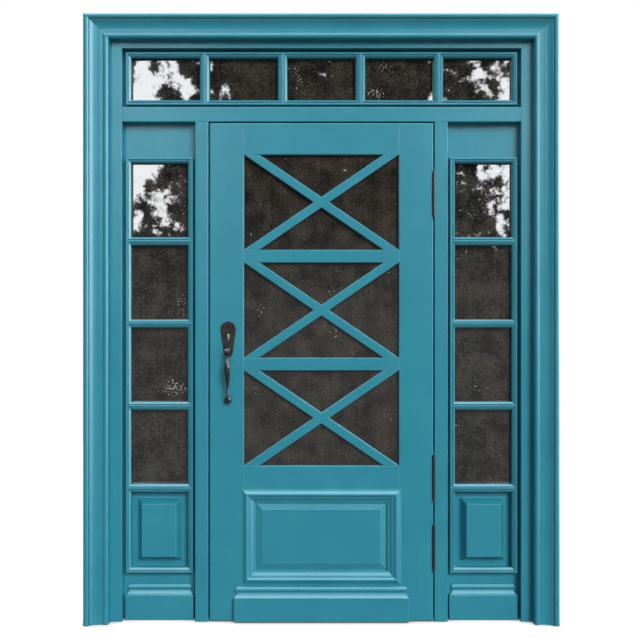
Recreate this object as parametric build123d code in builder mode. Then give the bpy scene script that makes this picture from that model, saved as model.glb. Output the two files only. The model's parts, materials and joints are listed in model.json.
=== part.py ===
from build123d import *
import os
from math import asin, atan, atan2, cos, degrees, hypot, radians, sin, sqrt

os.makedirs("parts", exist_ok=True)

# Entrance door set, in millimetres: one outward opening leaf between two sidelights, under a transom light.
# Origin: foot of the left jamb's outer face, in the plane of the wall's face.
# Seen from outside, +X runs to the right, +Y into the wall and +Z up.

# Door leaf
leaf_width = 914.0
leaf_height = 2032.0
leaf_thickness = 45.0
leaf_gap = 5.0
floor_gap = 5.0
stop_gap = 5.0
latch_edge_bevel = 2.0
leaf_arris = 4.0
pane_arris = 2.0
stile_width = 140.0
top_rail_height = 129.0
glazing_rail_height = 52.0
lock_rail_height = 105.0
bottom_rail_height = 155.0
leaf_panel_height = 372.0
cross_bar_width = 36.0
leaf_pane_count = 3

# Raised panel of the leaf and the moulding round it
panel_moulding_width = 55.0
panel_moulding_lap = 8.0
panel_moulding_rise = 14.0
panel_moulding_edge = 1.5
panel_moulding_slope = 16.0
panel_moulding_slope_rise = 9.5
panel_moulding_crest = 21.0
panel_moulding_quirk = 26.0
panel_moulding_quirk_rise = 9.5
panel_moulding_step = 1.0
panel_moulding_lip = 3.0
panel_moulding_lip_depth = 5.6
panel_plate_depth = 14.0
panel_raise = 10.0
panel_bevel = 23.5
panel_field_step = 2.5
panel_margin_gap = 3.5

# Frame
jamb_thickness = 75.0
head_thickness = 75.0
frame_depth = 115.0
mullion_width = 54.0
sidelight_width = 299.0
transom_bar_height = 61.0
transom_light_height = 240.0
stop_width = 13.0
frame_arris = 3.0

# Casing on the wall's face
casing_width = 98.5
jamb_reveal = 46.5
head_reveal = 28.5
casing_roll = 22.0
casing_roll_foot = 31.0
casing_roll_crest = 42.0
casing_hollow = 36.0
casing_flat = 14.0
casing_cove_rise = 14.0
casing_quirk = 3.0
casing_quirk_depth = 4.0
casing_bead = 22.0
casing_bead_foot = 49.5
casing_bead_crest = 56.0

# Sashes of the sidelights and of the transom light
sash_gap = 11.5
sash_setback = 15.0
sash_thickness = 27.0
bead_width = 9.0
bead_round = 3.0
groove_width = 3.5
groove_depth = 4.0
bevel_width = 8.5
bevel_depth = 8.0
muntin_width = 33.0
transom_muntin_width = 38.0
transom_pane_count = 5
sidelight_pane_count = 4
sidelight_header = 143.0
sidelight_sash_foot = 194.0
sidelight_panel_height = 309.5
glass_thickness = 8.0
glass_setback = 4.0
glass_lap = 8.0

# Raised panels of the sidelights
side_panel_margin = 25.0
side_panel_step = 4.0
side_panel_ledge = 2.5
side_panel_bevel = 19.5
side_panel_front = 12.0
side_panel_plate_depth = 52.0

# Plinths of the leaf and of the sidelights
leaf_plinth_half_width = 337.0
leaf_plinth_rise = 19.0
side_plinth_rise = 22.0
side_plinth_overhang = 1.5
plinth_flat_head = 101.5
plinth_fillet = 1.0
plinth_cove_height = 17.0
plinth_cove_sag = 1.6
plinth_neck_height = 9.5
plinth_ovolo = 17.5
plinth_ovolo_rise = 13.0
plinth_ovolo_edge = 2.5
plinth_ovolo_seat = 2.0
plinth_neck_rise = 6.0

# Lift-off hinges
hinge_heights = (302.0, 588.0, 1746.0)
barrel_radius = 5.5
barrel_stand_off = 0.5
knuckle_length = 90.0
knuckle_gap = 0.3
finial_neck_radius = 2.8
finial_neck_height = 1.5
finial_radius = 4.2
hinge_pin_radius = 3.0
hinge_pin_length = 60.0
pin_clearance = 0.05
pin_end_gap = 1.0
flap_thickness = 3.0
flap_width = 35.0

# Handle set. Its drops run down from the top of the plate, and the grip's from where the grip starts.
handle_offset = 77.0
plate_head_height = 1227.0
plate_head_radius = 32.0
plate_foot_radius = 18.5
plate_foot_margin = 6.0
plate_thickness = 5.0
plate_round = 2.0
cover_drop = 57.0
cover_radius = 4.5
cover_tail_radius = 1.8
cover_length = 18.0
cover_rise = 2.5
cover_round = 1.2
grip_shoulder_drop = 22.0
grip_shoulder_reach = 39.0
grip_belly_drop = 66.0
grip_belly_reach = 49.0
grip_tail_drop = 126.0
grip_tail_reach = 35.0
grip_tail_direction = (0, 0.8, -0.6)
grip_radii = ((0.0, 6.0), (0.16, 6.6), (0.36, 11.5), (0.6, 7.4), (0.85, 4.3), (1.0, 4.3))
foot_drop = 186.5
foot_radius = 15.5
foot_seat = 12.0

# Thumb piece, hung on a pin between two ears of the handle plate
thumb_pivot_drop = 115.0
thumb_pivot_stand_off = 8.0
thumb_pin_radius = 3.0
thumb_eye_radius = 6.0
thumb_eye_width = 10.0
thumb_width = 18.0
thumb_thickness = 4.0
thumb_reach = 34.0
thumb_drop = 18.0
thumb_curl = 12.0
thumb_notch = 18.0
thumb_grip_gap = 6.5
ear_thickness = 4.0
ear_gap = 0.5

# Places worked out from the sizes above. Half widths are measured from the middle of the door.
leaf_half = leaf_width / 2
door_half = leaf_half + leaf_gap
mullion_half = door_half + mullion_width
light_half = mullion_half + sidelight_width
frame_half = light_half + jamb_thickness
centre_x = frame_half
leaf_foot = floor_gap
leaf_head = leaf_foot + leaf_height
door_head = leaf_head + leaf_gap
transom_foot = door_head + transom_bar_height
transom_head = transom_foot + transom_light_height
frame_head = transom_head + head_thickness
stop_front = leaf_thickness + stop_gap
casing_half = light_half + jamb_reveal
casing_head_foot = transom_head + head_reveal
board_front = sash_setback + sash_thickness
board_back = frame_depth - board_front
moulding_width = bead_width + groove_width + bevel_width
mirror_plane = Plane.YZ.offset(centre_x)
middle_of_depth = Plane.XZ.offset(-frame_depth / 2)
middle_of_leaf = Plane.XZ.offset(-leaf_thickness / 2)

# Openings of the leaf
stile_half = leaf_half - stile_width
lock_rail_foot = leaf_foot + bottom_rail_height + leaf_panel_height
glass_foot = lock_rail_foot + lock_rail_height
glass_head = leaf_head - top_rail_height
leaf_glass_height = glass_head - glass_foot - (leaf_pane_count - 1) * glazing_rail_height
leaf_pane_height = leaf_glass_height / leaf_pane_count
leaf_pane_pitch = leaf_pane_height + glazing_rail_height
lowest_pane_middle = glass_foot + leaf_pane_height / 2
leaf_pane_heights = [lowest_pane_middle + row * leaf_pane_pitch for row in range(leaf_pane_count)]
leaf_panes = [(0.0, height, 2 * stile_half, leaf_pane_height) for height in leaf_pane_heights]
leaf_glass_front = (leaf_thickness - glass_thickness) / 2
leaf_panel_middle = lock_rail_foot - leaf_panel_height / 2

# Openings of the left sidelight, the panel's first, then the panes from the lowest up
sidelight_middle = -(mullion_half + light_half) / 2
side_opening_width = sidelight_width - 2 * (sash_gap + moulding_width)
side_sash_head = door_head - sidelight_header
side_opening_foot = sidelight_sash_foot + moulding_width
side_glass_foot = side_opening_foot + sidelight_panel_height + muntin_width
side_glass_height = side_sash_head - moulding_width - side_glass_foot
side_pane_height = (side_glass_height - (sidelight_pane_count - 1) * muntin_width) / sidelight_pane_count
side_panel_middle = side_opening_foot + sidelight_panel_height / 2
side_panel_opening = (sidelight_middle, side_panel_middle, side_opening_width, sidelight_panel_height)
side_panes = []
for row in range(sidelight_pane_count):
    side_pane_middle = side_glass_foot + side_pane_height / 2 + row * (side_pane_height + muntin_width)
    side_panes.append((sidelight_middle, side_pane_middle, side_opening_width, side_pane_height))
side_sash_outline = (
    sidelight_middle,
    (sidelight_sash_foot + side_sash_head) / 2,
    sidelight_width - 2 * sash_gap,
    side_sash_head - sidelight_sash_foot,
)

# Openings of the transom light, from left to right
transom_middle = (transom_foot + transom_head) / 2
transom_opening_width = 2 * (light_half - sash_gap - moulding_width)
transom_opening_height = transom_light_height - 2 * (sash_gap + moulding_width)
transom_glass_width = transom_opening_width - (transom_pane_count - 1) * transom_muntin_width
transom_pane_width = transom_glass_width / transom_pane_count
transom_pane_pitch = transom_pane_width + transom_muntin_width
transom_panes = []
for column in range(transom_pane_count):
    transom_pane_middle = (column - (transom_pane_count - 1) / 2) * transom_pane_pitch
    transom_panes.append((transom_pane_middle, transom_middle, transom_pane_width, transom_opening_height))
transom_sash_outline = (
    0.0,
    transom_middle,
    2 * (light_half - sash_gap),
    transom_light_height - 2 * sash_gap,
)


def elevation(depth):
    """Front elevation at a depth behind the wall's face, its origin under the middle of the door."""
    return Plane(origin=(centre_x, depth, 0), x_dir=(1, 0, 0), z_dir=(0, -1, 0))


def plan(height):
    """Plane of the plan at a height, its origin in the middle of the door on the wall's face."""
    return Plane(origin=(centre_x, 0, height), x_dir=(1, 0, 0), z_dir=(0, 0, 1))


def grown(outlines, margin):
    """Rectangles, each given by its middle, width and height, with a margin added on every side."""
    return [(across, height, wide + 2 * margin, tall + 2 * margin) for across, height, wide, tall in outlines]


def drawn(depth, outlines, holes=()):
    """Sketch of rectangles on the elevation at a depth, less the holes in them."""
    with BuildSketch(elevation(depth)) as drawing:
        for across, height, wide, tall in outlines:
            with Locations((across, height)):
                Rectangle(wide, tall)
        for across, height, wide, tall in holes:
            with Locations((across, height)):
                Rectangle(wide, tall, mode=Mode.SUBTRACT)
    return drawing.sketch


def board(left, right, foot, head, front, back):
    """Squared board between edges measured from the middle of the door."""
    outline = ((left + right) / 2, (foot + head) / 2, right - left, head - foot)
    with BuildPart() as squared:
        extrude(drawn(front, [outline]), amount=front - back)
    return squared.part


def ease_panes():
    """Takes the sharp arris off the edges round the panes, on both faces of the leaf."""
    for depth, inwards in ((0.0, -1), (leaf_thickness, 1)):
        eased = drawn(depth, grown(leaf_panes, pane_arris))
        extrude(eased, amount=inwards * pane_arris, taper=45, mode=Mode.SUBTRACT)


def keep(piece, name):
    """Names a finished piece and writes it."""
    piece.part.label = name
    export_step(piece.part, f"parts/{name}.step")


# Casing: one moulded section of a roll, a hollow, a quirk and a bead, mitred at the head
def casing_section(start):
    """Casing's section on a plane: across from its inner edge, and out from the wall's face."""
    cove_start = casing_roll + casing_flat
    cove_top = casing_hollow + casing_cove_rise
    bead_start = casing_width - casing_bead
    cove_end = bead_start - casing_quirk
    quirk_floor = casing_bead_foot - casing_quirk_depth
    with BuildSketch(start) as section:
        with BuildLine():
            Line((0, 0), (0, casing_roll_foot))
            ThreePointArc(
                (0, casing_roll_foot),
                (casing_roll / 2, casing_roll_crest),
                (casing_roll, casing_hollow),
            )
            Line((casing_roll, casing_hollow), (cove_start, casing_hollow))
            TangentArc((cove_start, casing_hollow), (cove_end, cove_top), tangent=(1, 0))
            Polyline(
                (cove_end, cove_top),
                (cove_end, quirk_floor),
                (bead_start, quirk_floor),
                (bead_start, casing_bead_foot),
            )
            ThreePointArc(
                (bead_start, casing_bead_foot),
                (bead_start + casing_bead / 2, casing_bead_crest),
                (casing_width, casing_bead_foot),
            )
            Polyline((casing_width, casing_bead_foot), (casing_width, 0), (0, 0))
        make_face()
    return section.sketch


mitre_left = Plane(origin=(centre_x - casing_half, 0, casing_head_foot), z_dir=(1, 0, 1))
mitre_right = Plane(origin=(centre_x + casing_half, 0, casing_head_foot), z_dir=(-1, 0, 1))

with BuildPart() as casing_left:
    jamb_foot = Plane(origin=(centre_x - casing_half, 0, 0), x_dir=(-1, 0, 0), z_dir=(0, 0, 1))
    extrude(casing_section(jamb_foot), amount=casing_head_foot + casing_width)
    split(bisect_by=mitre_left, keep=Keep.BOTTOM)
keep(casing_left, "casing_left")

with BuildPart() as casing_right:
    mirror(casing_left.part, about=mirror_plane)
keep(casing_right, "casing_right")

casing_head_start = centre_x - casing_half - casing_width
with BuildPart() as casing_head:
    head_start = Plane(origin=(casing_head_start, 0, casing_head_foot), x_dir=(0, 0, 1), z_dir=(1, 0, 0))
    extrude(casing_section(head_start), amount=2 * (casing_half + casing_width))
    split(bisect_by=mitre_left, keep=Keep.TOP)
    split(bisect_by=mitre_right, keep=Keep.TOP)
keep(casing_head, "casing_head")

# Jambs and head
with BuildPart() as jamb_left:
    add(board(-frame_half, -light_half, 0, transom_head, 0, frame_depth))
    inner_edges = jamb_left.edges().filter_by(Axis.Z).sort_by(Axis.X)[-2:]
    fillet(inner_edges, frame_arris)
keep(jamb_left, "jamb_left")

with BuildPart() as jamb_right:
    mirror(jamb_left.part, about=mirror_plane)
keep(jamb_right, "jamb_right")

with BuildPart() as head_jamb:
    add(board(-frame_half, frame_half, transom_head, frame_head, 0, frame_depth))
keep(head_jamb, "head_jamb")

# Mullions, rebated behind the leaf for its stop
with BuildPart() as mullion_left:
    with BuildSketch(plan(0)):
        with BuildLine():
            Polyline(
                (-mullion_half, 0),
                (-door_half, 0),
                (-door_half, stop_front),
                (-door_half + stop_width, stop_front),
                (-door_half + stop_width, frame_depth),
                (-mullion_half, frame_depth),
                close=True,
            )
        make_face()
    extrude(amount=door_head)
    front_edges = mullion_left.edges().filter_by(Axis.Z).group_by(Axis.Y)[0]
    fillet(front_edges, frame_arris)
keep(mullion_left, "mullion_left")

hinge_x = leaf_half + leaf_gap / 2
hinge_y = -(barrel_radius + barrel_stand_off)
with BuildPart() as mullion_right:
    mirror(mullion_left.part, about=mirror_plane)
    for height in hinge_heights:
        flap_head = height - knuckle_gap / 2
        flap_foot = height - knuckle_length
        mortice = board(door_half, door_half + flap_thickness, flap_foot, flap_head, 0, flap_width)
        add(mortice, mode=Mode.SUBTRACT)
keep(mullion_right, "mullion_right")

# Transom bar, with its stop between the stops of the mullions
with BuildPart() as transom_bar:
    add(board(-light_half, light_half, door_head, transom_foot, 0, frame_depth))
    front_edges = transom_bar.edges().filter_by(Axis.X).group_by(Axis.Y)[0]
    fillet(front_edges, frame_arris)
    stop_half = door_half - stop_width
    add(board(-stop_half, stop_half, door_head - stop_width, door_head, stop_front, frame_depth))
keep(transom_bar, "transom_bar")


# Sashes: beads, grooves and bevels round every pane, on both sides of a board that holds the glass
def moulded_sash(outline, panes):
    """Adds a moulded sash in front of its board, and the same one behind it."""
    extrude(drawn(sash_setback, [outline], panes), amount=-sash_thickness)
    bevel_tops = grown(panes, bevel_width)
    bevel_slope = degrees(atan(bevel_width / bevel_depth))
    extrude(drawn(sash_setback, bevel_tops), amount=-bevel_depth, taper=bevel_slope, mode=Mode.SUBTRACT)
    grooves = drawn(sash_setback, grown(bevel_tops, groove_width), bevel_tops)
    extrude(grooves, amount=-groove_depth, mode=Mode.SUBTRACT)


def round_beads(sash):
    """Rounds the beads that stand between the grooves of a sash."""
    beads = sash.faces().filter_by(Axis.Y).sort_by(Axis.Y)[0]
    fillet(beads.edges(), bead_round)


def light_board(left, right, foot, head, openings):
    """Adds the board behind a sash, cut through for its glass and panels."""
    add(board(left, right, foot, head, board_front, board_back))
    seats = drawn(board_front, grown(openings, glass_lap))
    extrude(seats, amount=board_front - board_back, mode=Mode.SUBTRACT)


with BuildPart() as transom_board:
    light_board(-light_half, light_half, transom_foot, transom_head, transom_panes)
keep(transom_board, "transom_board")

with BuildPart() as transom_sash:
    moulded_sash(transom_sash_outline, transom_panes)
    round_beads(transom_sash)
    mirror(about=middle_of_depth)
keep(transom_sash, "transom_sash")

with BuildPart() as transom_glass:
    sheets = drawn(board_front + glass_setback, grown(transom_panes, glass_lap))
    extrude(sheets, amount=-glass_thickness)
keep(transom_glass, "transom_glass")

with BuildPart() as left_sidelight_board:
    light_board(-light_half, -mullion_half, 0, door_head, [side_panel_opening] + side_panes)
keep(left_sidelight_board, "left_sidelight_board")

with BuildPart() as left_sidelight_sash:
    moulded_sash(side_sash_outline, [side_panel_opening] + side_panes)
    round_beads(left_sidelight_sash)
    mirror(about=middle_of_depth)
keep(left_sidelight_sash, "left_sidelight_sash")

with BuildPart() as left_sidelight_glass:
    sheets = drawn(board_front + glass_setback, grown(side_panes, glass_lap))
    extrude(sheets, amount=-glass_thickness)
keep(left_sidelight_glass, "left_sidelight_glass")

# Raised panel of a sidelight: a plate in the board with a bevelled field on each face
with BuildPart() as left_sidelight_panel:
    plate = drawn(side_panel_plate_depth, grown([side_panel_opening], glass_lap))
    extrude(plate, amount=side_panel_plate_depth - frame_depth / 2)
    raised_outline = grown([side_panel_opening], -side_panel_margin)
    extrude(drawn(side_panel_plate_depth, raised_outline), amount=side_panel_step)
    bevel_foot = side_panel_plate_depth - side_panel_step
    bevel_rise = bevel_foot - side_panel_front
    bevel_slope = degrees(atan(side_panel_bevel / bevel_rise))
    bevel_outline = grown(raised_outline, -side_panel_ledge)
    extrude(drawn(bevel_foot, bevel_outline), amount=bevel_rise, taper=bevel_slope)
    mirror(about=middle_of_depth)
keep(left_sidelight_panel, "left_sidelight_panel")


# Plinths: one moulded section that returns to the face behind it at both ends
def moulded_plinth(middle, half_width, back, foot, rise):
    """Plinth that stands on a face at a depth, with a flat, a cove, a neck and a quarter round."""
    flat_head = plinth_flat_head - foot
    cove_head = flat_head + plinth_cove_height
    neck_head = cove_head + plinth_neck_height
    ovolo_head = neck_head + plinth_ovolo
    ovolo_edge = (-plinth_ovolo_rise, neck_head + plinth_ovolo_edge)
    ovolo_seat = (-plinth_ovolo_seat, ovolo_head)
    corner_x = centre_x + middle - half_width
    with BuildPart() as plinth:
        with BuildLine() as route:
            Polyline(
                (corner_x, back + 2 * rise, foot),
                (corner_x, back, foot),
                (corner_x + 2 * half_width, back, foot),
                (corner_x + 2 * half_width, back + 2 * rise, foot),
            )
        with BuildSketch(Plane(origin=(corner_x, back + 2 * rise, foot), x_dir=(1, 0, 0), z_dir=(0, -1, 0))):
            with BuildLine():
                Polyline((0, ovolo_head), (0, 0), (-rise, 0), (-rise, flat_head))
                Line((-rise, flat_head), (-rise + plinth_fillet, flat_head + plinth_fillet))
                SagittaArc(
                    (-plinth_neck_rise - plinth_fillet, cove_head),
                    (-rise + plinth_fillet, flat_head + plinth_fillet),
                    plinth_cove_sag,
                )
                Polyline(
                    (-plinth_neck_rise - plinth_fillet, cove_head),
                    (-plinth_neck_rise, cove_head),
                    (-plinth_neck_rise, neck_head),
                    (-plinth_ovolo_rise, neck_head),
                    ovolo_edge,
                )
                TangentArc(ovolo_edge, ovolo_seat, tangent=(0, 1))
                Line(ovolo_seat, (0, ovolo_head))
            make_face()
        sweep(path=route.line, transition=Transition.RIGHT)
        split(bisect_by=Plane(origin=(centre_x, back, 0), z_dir=(0, -1, 0)), keep=Keep.TOP)
    return plinth.part


side_plinth_half_width = side_sash_outline[2] / 2 - side_plinth_rise + side_plinth_overhang
with BuildPart() as left_sidelight_plinth:
    add(moulded_plinth(sidelight_middle, side_plinth_half_width, board_front, 0, side_plinth_rise))
keep(left_sidelight_plinth, "left_sidelight_plinth")

for left_piece in (
    left_sidelight_board,
    left_sidelight_sash,
    left_sidelight_glass,
    left_sidelight_panel,
    left_sidelight_plinth,
):
    right_name = left_piece.part.label.replace("left", "right")
    with BuildPart() as right_piece:
        mirror(left_piece.part, about=mirror_plane)
    keep(right_piece, right_name)

# Leaf: two stiles and five rails, flush with each other on both faces
with BuildPart() as leaf_latch_stile:
    with BuildSketch(plan(leaf_foot)):
        with BuildLine():
            Polyline(
                (-leaf_half, 0),
                (-stile_half, 0),
                (-stile_half, leaf_thickness),
                (-leaf_half + latch_edge_bevel, leaf_thickness),
                close=True,
            )
        make_face()
    extrude(amount=leaf_height)
    outer_edges = leaf_latch_stile.edges().filter_by(Axis.Z).sort_by(Axis.X)[:2]
    top_edges = leaf_latch_stile.faces().sort_by(Axis.Z)[-1].edges().filter_by(Axis.X)
    fillet(outer_edges + top_edges, leaf_arris)
    ease_panes()
keep(leaf_latch_stile, "leaf_latch_stile")

with BuildPart() as leaf_hinge_stile:
    add(board(stile_half, leaf_half, leaf_foot, leaf_head, 0, leaf_thickness))
    outer_edges = leaf_hinge_stile.edges().filter_by(Axis.Z).sort_by(Axis.X)[-2:]
    top_edges = leaf_hinge_stile.faces().sort_by(Axis.Z)[-1].edges().filter_by(Axis.X)
    fillet(outer_edges + top_edges, leaf_arris)
    ease_panes()
    for height in hinge_heights:
        flap_foot = height + knuckle_gap / 2
        flap_head = height + knuckle_length
        mortice = board(leaf_half - flap_thickness, leaf_half, flap_foot, flap_head, 0, flap_width)
        add(mortice, mode=Mode.SUBTRACT)
keep(leaf_hinge_stile, "leaf_hinge_stile")

with BuildPart() as leaf_top_rail:
    add(board(-stile_half, stile_half, glass_head, leaf_head, 0, leaf_thickness))
    top_edges = leaf_top_rail.faces().sort_by(Axis.Z)[-1].edges().filter_by(Axis.X)
    fillet(top_edges, leaf_arris)
    ease_panes()
keep(leaf_top_rail, "leaf_top_rail")

rail_feet = [height + leaf_pane_height / 2 for height in leaf_pane_heights[:-1]]
for name, rail_foot in zip(("leaf_lower_glazing_rail", "leaf_upper_glazing_rail"), rail_feet):
    with BuildPart() as glazing_rail:
        add(board(-stile_half, stile_half, rail_foot, rail_foot + glazing_rail_height, 0, leaf_thickness))
        ease_panes()
    keep(glazing_rail, name)

with BuildPart() as leaf_lock_rail:
    add(board(-stile_half, stile_half, lock_rail_foot, glass_foot, 0, leaf_thickness))
    ease_panes()
keep(leaf_lock_rail, "leaf_lock_rail")

with BuildPart() as leaf_bottom_rail:
    add(board(-stile_half, stile_half, leaf_foot, leaf_foot + bottom_rail_height, 0, leaf_thickness))
keep(leaf_bottom_rail, "leaf_bottom_rail")

with BuildPart() as leaf_glass:
    extrude(drawn(leaf_glass_front, leaf_panes), amount=-glass_thickness)
keep(leaf_glass, "leaf_glass")

# Crossed bars: one edge of each bar runs into the corner of its pane
pane_diagonal = hypot(stile_half, leaf_pane_height / 2)
bar_angle = degrees(atan2(leaf_pane_height / 2, stile_half) + asin(cross_bar_width / 2 / pane_diagonal))
bar_length = 2 * pane_diagonal + 4 * cross_bar_width


def cross_bar(height, turn):
    """Bar in front of a pane, with eased edges, turned from level and longer than the pane's diagonal."""
    along = Vector(cos(radians(turn)), 0, sin(radians(turn)))
    start = Vector(centre_x, 0, height) - along * (bar_length / 2)
    half = cross_bar_width / 2
    with BuildPart() as bar:
        with BuildSketch(Plane(origin=start, x_dir=(0, 1, 0), z_dir=along)):
            with BuildLine():
                Polyline(
                    (0, -half + pane_arris),
                    (pane_arris, -half),
                    (leaf_glass_front, -half),
                    (leaf_glass_front, half),
                    (pane_arris, half),
                    (0, half - pane_arris),
                    close=True,
                )
            make_face()
        extrude(amount=bar_length)
    return bar.part


for name, pane in zip(("leaf_lower_cross", "leaf_middle_cross", "leaf_upper_cross"), leaf_panes):
    with BuildPart() as cross:
        add(cross_bar(pane[1], bar_angle))
        add(cross_bar(pane[1], -bar_angle))
        extrude(drawn(0, [pane]), amount=-leaf_glass_front, mode=Mode.INTERSECT)
        mirror(about=middle_of_leaf)
    keep(cross, name)

# Raised panel of the leaf, and the moulding that laps over the rails and stiles round it
leaf_panel_opening = (0.0, leaf_panel_middle, 2 * stile_half, leaf_panel_height)
panel_foot_inset = panel_moulding_width - panel_moulding_lap + panel_margin_gap

with BuildPart() as leaf_panel:
    extrude(drawn(panel_plate_depth, [leaf_panel_opening]), amount=panel_plate_depth - leaf_thickness / 2)
    bevel_outline = grown([leaf_panel_opening], -panel_foot_inset)
    bevel_rise = panel_raise - panel_field_step
    bevel_slope = degrees(atan(panel_bevel / bevel_rise))
    extrude(drawn(panel_plate_depth, bevel_outline), amount=bevel_rise, taper=bevel_slope)
    field_outline = grown(bevel_outline, -panel_bevel)
    extrude(drawn(panel_plate_depth - bevel_rise, field_outline), amount=panel_field_step)
    mirror(about=middle_of_leaf)
keep(leaf_panel, "leaf_panel")

with BuildPart() as leaf_panel_moulding:
    moulding_corner_x = centre_x - stile_half - panel_moulding_lap
    moulding_corner_z = lock_rail_foot - leaf_panel_height - panel_moulding_lap
    moulding_wide = 2 * (stile_half + panel_moulding_lap)
    moulding_tall = leaf_panel_height + 2 * panel_moulding_lap
    with BuildLine() as ring:
        Polyline(
            (moulding_corner_x, 0, moulding_corner_z + moulding_tall / 2),
            (moulding_corner_x, 0, moulding_corner_z + moulding_tall),
            (moulding_corner_x + moulding_wide, 0, moulding_corner_z + moulding_tall),
            (moulding_corner_x + moulding_wide, 0, moulding_corner_z),
            (moulding_corner_x, 0, moulding_corner_z),
            (moulding_corner_x, 0, moulding_corner_z + moulding_tall / 2),
        )
    start = Plane(origin=ring.line @ 0, x_dir=(1, 0, 0), z_dir=(0, 0, 1))
    with BuildSketch(start):
        with BuildLine():
            roll_start = (panel_moulding_slope, -panel_moulding_slope_rise)
            crest = (panel_moulding_crest, -panel_moulding_rise)
            roll_end = (panel_moulding_quirk, -panel_moulding_quirk_rise)
            Polyline((0, 0), (0, -panel_moulding_edge), roll_start)
            ThreePointArc(roll_start, crest, roll_end)
            Polyline(
                roll_end,
                (panel_moulding_quirk, -panel_moulding_quirk_rise + panel_moulding_step),
                (panel_moulding_width - panel_moulding_lip, panel_moulding_lip_depth),
                (panel_moulding_width, panel_moulding_lip_depth),
                (panel_moulding_width, panel_plate_depth),
                (panel_moulding_lap, panel_plate_depth),
                (panel_moulding_lap, 0),
                (0, 0),
            )
        make_face()
    sweep(path=ring.line, transition=Transition.RIGHT)
    mirror(about=middle_of_leaf)
keep(leaf_panel_moulding, "leaf_panel_moulding")

with BuildPart() as leaf_plinth:
    add(moulded_plinth(0, leaf_plinth_half_width, 0, leaf_foot, leaf_plinth_rise))
keep(leaf_plinth, "leaf_plinth")


# Hinges: a knuckle with its flap on the leaf, lifted off a knuckle with a pin on the frame
def knuckle(height, outwards):
    """Turned knuckle that runs up or down from the hinge's middle and ends in a finial."""
    start = outwards * knuckle_gap / 2
    end = outwards * knuckle_length
    neck = end + outwards * finial_neck_height
    ball = neck + outwards * sqrt(finial_radius**2 - finial_neck_radius**2)
    tip = ball + outwards * finial_radius
    with BuildPart() as turned:
        middle = (centre_x + hinge_x, hinge_y, height)
        with BuildSketch(Plane(origin=middle, x_dir=(1, 0, 0), z_dir=(0, -1, 0))):
            with BuildLine():
                Polyline(
                    (0, tip),
                    (0, start),
                    (barrel_radius, start),
                    (barrel_radius, end),
                    (finial_neck_radius, end),
                    (finial_neck_radius, neck),
                )
                ThreePointArc((finial_neck_radius, neck), (finial_radius, ball), (0, tip))
            make_face()
        revolve(axis=Axis(middle, (0, 0, 1)))
    return turned.part


with BuildPart() as hinge_leaf_knuckles:
    for height in hinge_heights:
        add(knuckle(height, 1))
        flap_foot = height + knuckle_gap / 2
        flap_head = height + knuckle_length
        add(board(leaf_half - flap_thickness, leaf_half, flap_foot, flap_head, hinge_y, flap_width))
        with Locations((centre_x + hinge_x, hinge_y, height)):
            Cylinder(
                hinge_pin_radius + pin_clearance,
                hinge_pin_length + pin_end_gap,
                align=(Align.CENTER, Align.CENTER, Align.MIN),
                mode=Mode.SUBTRACT,
            )
keep(hinge_leaf_knuckles, "hinge_leaf_knuckles")

with BuildPart() as hinge_frame_knuckles:
    for height in hinge_heights:
        add(knuckle(height, -1))
        flap_head = height - knuckle_gap / 2
        flap_foot = height - knuckle_length
        add(board(door_half, door_half + flap_thickness, flap_foot, flap_head, hinge_y, flap_width))
        with Locations((centre_x + hinge_x, hinge_y, height - knuckle_gap)):
            Cylinder(
                hinge_pin_radius,
                hinge_pin_length + knuckle_gap,
                align=(Align.CENTER, Align.CENTER, Align.MIN),
            )
keep(hinge_frame_knuckles, "hinge_frame_knuckles")

# Handle set: a teardrop plate with a keyhole cover, a swelling grip on a ball foot, and a thumb piece
handle_x = -leaf_half + handle_offset
thumb_pivot_y = -plate_thickness - thumb_pivot_stand_off
thumb_pivot_height = plate_head_height - thumb_pivot_drop
grip_start_radius = grip_radii[0][1]
grip_start_height = thumb_pivot_height - thumb_eye_radius - thumb_grip_gap - grip_start_radius
plate_foot_height = grip_start_height - grip_start_radius - plate_foot_margin
foot_height = grip_start_height - foot_drop


def teardrop_plate():
    """Teardrop plate on the leaf's face, with a rounded front edge."""
    with BuildPart() as plate:
        with BuildSketch(elevation(0)):
            with Locations((handle_x, plate_head_height - plate_head_radius)):
                Circle(plate_head_radius)
            with Locations((handle_x, plate_foot_height + plate_foot_radius)):
                Circle(plate_foot_radius)
            make_hull()
        extrude(amount=plate_thickness)
        fillet(plate.faces().sort_by(Axis.Y)[0].edges(), plate_round)
    return plate.part


with BuildPart() as handle_plate:
    add(teardrop_plate())
    cover_height = plate_head_height - cover_drop
    with BuildSketch(elevation(-plate_thickness)):
        with Locations((handle_x, cover_height)):
            Circle(cover_radius)
        with Locations((handle_x, cover_height - cover_length)):
            Circle(cover_tail_radius)
        make_hull()
    extrude(amount=cover_rise)
    fillet(handle_plate.faces().sort_by(Axis.Y)[0].edges(), cover_round)
    ear_offset = thumb_eye_width / 2 + ear_gap
    for side in (-1, 1):
        ear_start = centre_x + handle_x + side * ear_offset
        with BuildSketch(Plane(origin=(ear_start, 0, 0), x_dir=(0, 1, 0), z_dir=(1, 0, 0))):
            with Locations((thumb_pivot_y, thumb_pivot_height)):
                Circle(thumb_eye_radius)
            with Locations(((thumb_pivot_y - plate_thickness) / 2, thumb_pivot_height)):
                Rectangle(thumb_pivot_stand_off, 2 * thumb_eye_radius)
        extrude(amount=side * ear_thickness)
    with Locations((centre_x + handle_x, thumb_pivot_y, thumb_pivot_height)):
        Cylinder(thumb_pin_radius, 2 * ear_offset + ear_thickness, rotation=(0, 90, 0))
keep(handle_plate, "handle_plate")

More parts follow.
